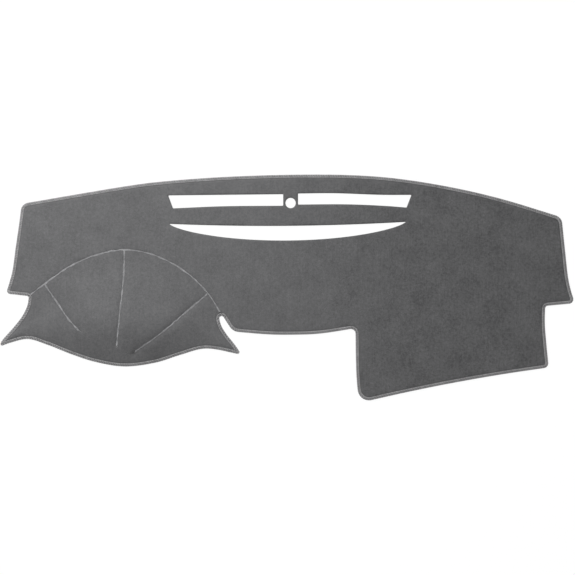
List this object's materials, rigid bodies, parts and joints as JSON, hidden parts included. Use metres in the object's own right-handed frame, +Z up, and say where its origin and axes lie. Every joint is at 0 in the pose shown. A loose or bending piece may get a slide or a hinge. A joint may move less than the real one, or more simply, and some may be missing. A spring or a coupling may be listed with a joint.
{
  "type": "dashboard cover mat",
  "caption": "Felt dashboard cover with overlocked edges, a sewn instrument hood shaped by darts, and cut-outs for vents and a sensor.",
  "frame": {"origin": "bottom centre of the mat laid flat", "axes": "+X along the dashboard towards the passenger's side, +Y towards the windscreen, +Z up from the surface that the mat lies on"},
  "size_m": [1.4525, 0.5726, 0.0399],
  "materials": {
    "felt": "needle-punched grey polyester felt, matt with short fibres",
    "edging_thread": "light grey textured polyester overlock thread",
    "seam_thread": "light grey polyester sewing thread"
  },
  "bodies": {
    "root": {"main_panel": "felt", "instrument_hood_panel": "felt", "edge_overlock": "edging_thread", "hood_seam_thread": "seam_thread", "dart_thread_left": "seam_thread", "dart_thread_centre": "seam_thread", "dart_thread_right": "seam_thread"}
  },
  "joints": []
}
